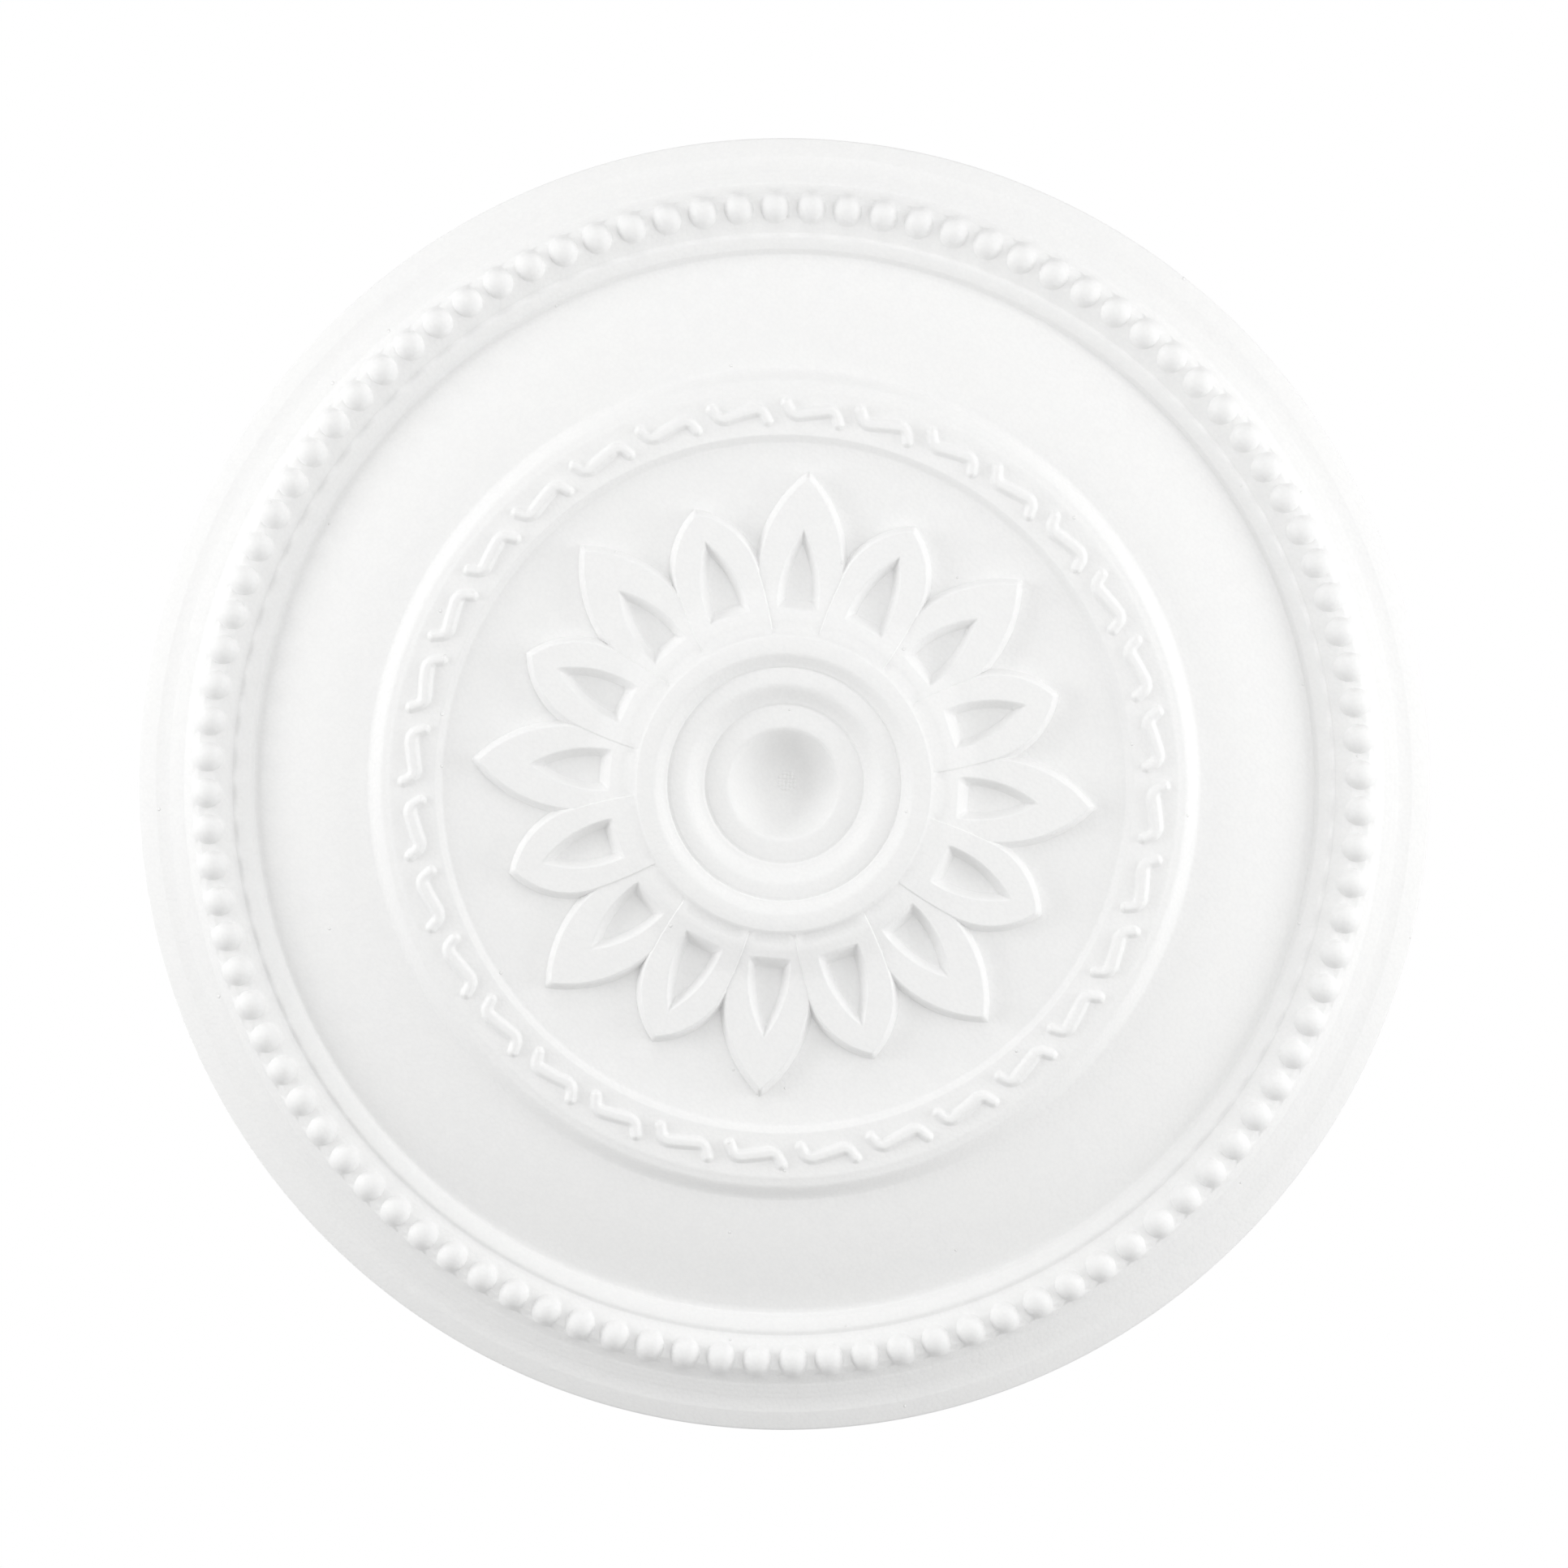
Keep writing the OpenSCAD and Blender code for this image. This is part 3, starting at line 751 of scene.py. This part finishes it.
class Nodes:
    """Adds nodes to a material and joins them up."""

    def __init__(self, mat):
        mat.use_nodes = True
        self.tree = mat.node_tree
        self.shader = self.tree.nodes["Principled BSDF"]
        self.place = self.tree.nodes.new("ShaderNodeTexCoord").outputs["Object"]

    def join(self, source, socket):
        if isinstance(source, bpy.types.NodeSocket):
            self.tree.links.new(source, socket)
        else:
            socket.default_value = source

    def noise(self, scale, detail):
        node = self.tree.nodes.new("ShaderNodeTexNoise")
        node.inputs["Scale"].default_value = scale
        node.inputs["Detail"].default_value = detail
        self.join(self.place, node.inputs["Vector"])
        return node.outputs["Fac"]

    def cells(self, scale, flat=False):
        """Distance to the nearest cell centre, and the cell's random colour."""
        node = self.tree.nodes.new("ShaderNodeTexVoronoi")
        node.voronoi_dimensions = "2D" if flat else "3D"
        node.inputs["Scale"].default_value = scale
        self.join(self.place, node.inputs["Vector"])
        return node.outputs["Distance"], node.outputs["Color"]

    def math(self, kind, a, b):
        node = self.tree.nodes.new("ShaderNodeMath")
        node.operation = kind
        self.join(a, node.inputs[0])
        self.join(b, node.inputs[1])
        return node.outputs[0]

    def span(self, value, low, high, to_low, to_high):
        """Maps low..high to to_low..to_high, clamped."""
        node = self.tree.nodes.new("ShaderNodeMapRange")
        for socket, number in zip(list(node.inputs)[:5], (value, low, high, to_low, to_high)):
            self.join(number, socket)
        return node.outputs[0]

    def mix(self, share, a, b):
        node = self.tree.nodes.new("ShaderNodeMix")
        node.data_type = "RGBA"
        self.join(share, node.inputs["Factor"])
        self.join(a, node.inputs["A"])
        self.join(b, node.inputs["B"])
        return node.outputs["Result"]

    def bump(self, height, distance, normal=None):
        """A bump of the given distance, in metres, for a height of 1."""
        node = self.tree.nodes.new("ShaderNodeBump")
        node.inputs["Distance"].default_value = distance
        self.join(height, node.inputs["Height"])
        if normal:
            self.join(normal, node.inputs["Normal"])
        return node.outputs["Normal"]

    def channel(self, colour):
        """One channel of a colour; that of a random colour is spread evenly over 0 to 1."""
        node = self.tree.nodes.new("ShaderNodeSeparateColor")
        self.join(colour, node.inputs["Color"])
        return node.outputs["Red"]


def foam_material():
    """White moulded foam: a matt skin on fine expanded beads, faintly mottled, with raised specks. The
    sunken gaps between the beads are painted darker as painted shade, and the specks are painted
    lighter as a painted highlight.
    """
    mat = bpy.data.materials.new("foam")
    foam = Nodes(mat)
    bead, _ = foam.cells(1 / FOAM_BEAD)
    grain = foam.noise(GRAIN_SCALE, 2)
    patches = foam.noise(PATCH_SCALE, 3)
    broad = foam.noise(BROAD_SCALE, 2)
    reach, pick = foam.cells(1 / SPECK_PITCH, flat=True)
    chosen = foam.math("LESS_THAN", foam.channel(pick), SPECK_SHARE)
    size = foam.span(patches, 0.35, 0.65, SPECK_R[0] / SPECK_PITCH, SPECK_R[1] / SPECK_PITCH)
    dot = foam.span(foam.math("DIVIDE", reach, size), 0.5, 1.0, 1.0, 0.0)
    speck = foam.math("MULTIPLY", dot, chosen)

    tone = foam.mix(foam.span(patches, 0.35, 0.65, 0.0, 1.0), PLAIN_TONE, PATCH_TONE)
    tone = foam.mix(foam.span(broad, 0.4, 0.6, 0.0, 0.3), tone, WARM_TONE)
    # painted shade: the tone darkens towards the sunken gaps between the foam beads
    skin = foam.span(bead, 0.42, 0.62, 0.0, 0.35)
    tone = foam.mix(skin, tone, PAINTED_GAP_SHADE_TONE)
    # painted highlight: the raised specks are painted lighter, while their bump is real relief
    tone = foam.mix(speck, tone, SPECK_PAINTED_HIGHLIGHT_TONE)
    foam.join(tone, foam.shader.inputs["Base Color"])

    uneven = foam.math("ADD", patches, foam.math("MULTIPLY", bead, 0.3))
    rough = foam.span(uneven, 0.4, 0.9, 0.75, 0.9)
    foam.join(rough, foam.shader.inputs["Roughness"])
    foam.shader.inputs["Specular IOR Level"].default_value = 0.25

    height = foam.math("MULTIPLY", foam.math("MULTIPLY", bead, bead), -1)
    normal = foam.bump(height, BEAD_BUMP)
    normal = foam.bump(patches, PATCH_BUMP, normal)
    normal = foam.bump(grain, GRAIN_BUMP, normal)
    normal = foam.bump(speck, SPECK_BUMP, normal)
    foam.join(normal, foam.shader.inputs["Normal"])
    return mat


def plain_material(name, colour):
    mat = bpy.data.materials.new(name)
    mat.use_nodes = True
    shader = mat.node_tree.nodes["Principled BSDF"]
    shader.inputs["Base Color"].default_value = (*colour, 1)
    shader.inputs["Roughness"].default_value = 0.9
    return mat


# ---------------------------------------------------------------- stage


# lengths in metres
CAMERA_GAP = 2.2        # from the rim to the camera
FLOOR_Z, FLOOR_SIZE = -2.6, 60
LIGHT_GAP = 1.7         # from the rose to each light
SENSOR_W_MM = 36        # the camera's sensor, the one length here in millimetres
WORLD_CAST = 0.525      # strength of the light from all round
ROSE_SHARE = 0.824      # of the view's width that the rose takes up
SEEN_W = 2 * ROSE_R * MM / ROSE_SHARE


def make_floor():
    bpy.ops.mesh.primitive_plane_add(size=FLOOR_SIZE, location=(0, 0, FLOOR_Z))
    floor = bpy.context.object
    floor.name = "floor"
    floor.data.materials.append(plain_material("floor", FLOOR_TONE))


def make_camera():
    data = bpy.data.cameras.new("camera")
    data.sensor_width = SENSOR_W_MM
    rim_z = HIGH[2] - EDGE_Z * MM
    data.lens = data.sensor_width * CAMERA_GAP / SEEN_W
    camera = bpy.data.objects.new("camera", data)
    camera.location = (0, 0, rim_z - CAMERA_GAP)
    camera.rotation_euler = (math.pi, 0, 0)
    bpy.context.scene.collection.objects.link(camera)
    bpy.context.scene.camera = camera


def soft_light(name, bearing, height, size, power):
    """A square soft box aimed at the rose. In degrees, bearing is its turn from the right of the view
    and height its angle below the rose. size is in metres and power in watts."""
    data = bpy.data.lights.new(name, "AREA")
    data.shape = "SQUARE"
    data.size = size
    data.energy = power
    lamp = bpy.data.objects.new(name, data)
    a, e = math.radians(bearing), math.radians(height)
    place = Vector((math.cos(a) * math.cos(e), -math.sin(a) * math.cos(e), -math.sin(e))) * LIGHT_GAP
    lamp.location = place
    lamp.rotation_euler = (-place).to_track_quat("-Z", "Y").to_euler()
    lamp.visible_camera = False
    bpy.context.scene.collection.objects.link(lamp)


def make_world():
    """Plain white behind the rose, and a weaker light from all round."""
    world = bpy.data.worlds.new("world")
    bpy.context.scene.world = world
    world.use_nodes = True
    nodes, links = world.node_tree.nodes, world.node_tree.links
    nodes.clear()
    out = nodes.new("ShaderNodeOutputWorld")
    seen = nodes.new("ShaderNodeBackground")
    cast = nodes.new("ShaderNodeBackground")
    cast.inputs["Strength"].default_value = WORLD_CAST
    for node in (seen, cast):
        node.inputs["Color"].default_value = (1, 1, 1, 1)
    path = nodes.new("ShaderNodeLightPath")
    mix = nodes.new("ShaderNodeMixShader")
    links.new(path.outputs["Is Camera Ray"], mix.inputs[0])
    links.new(cast.outputs[0], mix.inputs[1])
    links.new(seen.outputs[0], mix.inputs[2])
    links.new(mix.outputs[0], out.inputs["Surface"])


def make_lights():
    make_world()
    soft_light("left_side", 180, 12, 1.4, 8.5)
    soft_light("right_side", 0, 12, 1.4, 6.5)
    soft_light("left_edge", 172, 16, 0.7, 6.2)
    soft_light("right_edge", 0, 16, 0.7, 4.8)
    soft_light("top", 90, 45, 1.4, 6.0)
    soft_light("top_edge", 108, 18, 0.7, 2.3)
    soft_light("bottom", 270, 12, 1.4, 1.7)
    soft_light("front", 0, 60, 1.4, 7.0)
    soft_light("back", 200, -38, 0.5, 9.0)
    bpy.context.scene.view_settings.view_transform = "Standard"


make_camera()
make_floor()
make_lights()
rose = make_rose()
rose.data.materials.append(foam_material())
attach(rose, "root")
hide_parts(NODE)
